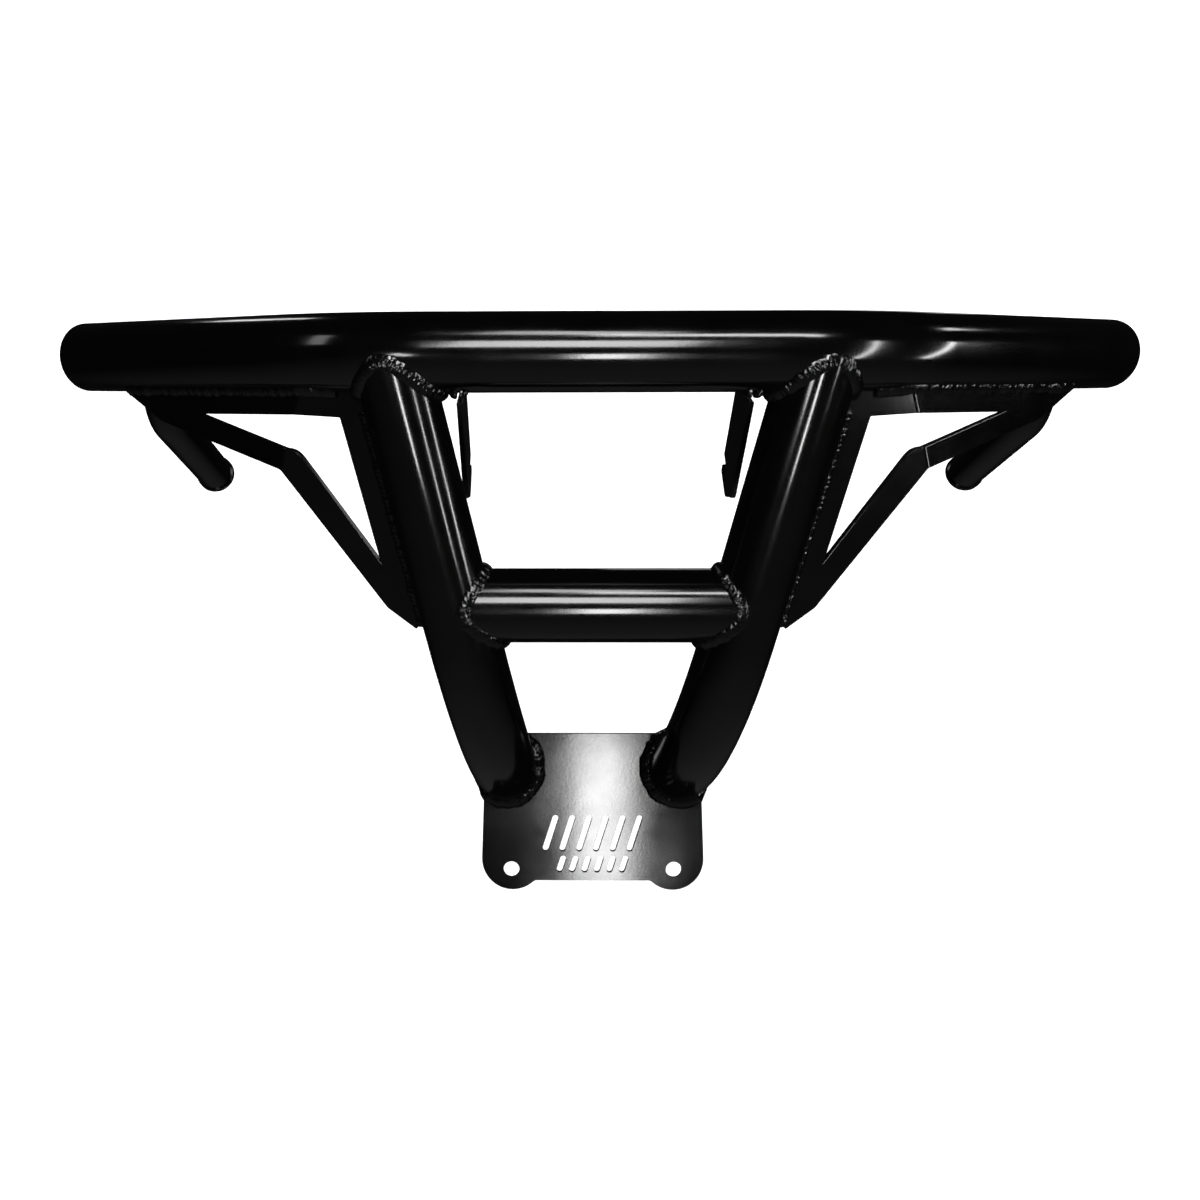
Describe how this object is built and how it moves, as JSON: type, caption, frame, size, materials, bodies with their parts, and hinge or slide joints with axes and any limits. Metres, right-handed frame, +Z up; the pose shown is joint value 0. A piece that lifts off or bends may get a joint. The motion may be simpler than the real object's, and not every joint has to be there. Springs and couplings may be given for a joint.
{
  "type": "atv front bumper",
  "caption": "Welded tube bumper: swept top bar on splayed legs with a cross tube, folded gussets, side stays, hook tabs and a lower mounting plate.",
  "frame": {"origin": "point midway between the two mounting holes, on the rear face of the mount plate", "axes": "+X to the right seen from the front, +Y back toward the vehicle, +Z up"},
  "size_m": [0.702, 0.2581, 0.3846],
  "materials": {
    "coated_steel": "glossy black powder coat",
    "coated_welds": "glossy black powder coat over weld beads"
  },
  "bodies": {
    "root": {"top_tube": "coated_steel", "end_disc_left": "coated_steel", "end_disc_right": "coated_steel", "leg_left": "coated_steel", "leg_right": "coated_steel", "cross_tube": "coated_steel", "mount_plate": "coated_steel", "gusset_left": "coated_steel", "gusset_right": "coated_steel", "stay_left": "coated_steel", "stay_right": "coated_steel", "stay_bung_left": "coated_steel", "stay_bung_right": "coated_steel", "hook_tab_left": "coated_steel", "hook_tab_right": "coated_steel", "leg_top_weld_left": "coated_welds", "leg_top_weld_right": "coated_welds", "cross_weld_left": "coated_welds", "cross_weld_right": "coated_welds", "leg_foot_weld_left": "coated_welds", "leg_foot_weld_right": "coated_welds", "gusset_tube_weld_left": "coated_welds", "gusset_tube_weld_right": "coated_welds", "gusset_leg_weld_left": "coated_welds", "gusset_leg_weld_right": "coated_welds", "stay_weld_left": "coated_welds", "stay_weld_right": "coated_welds", "tab_weld_left": "coated_welds", "tab_weld_right": "coated_welds"}
  },
  "joints": []
}
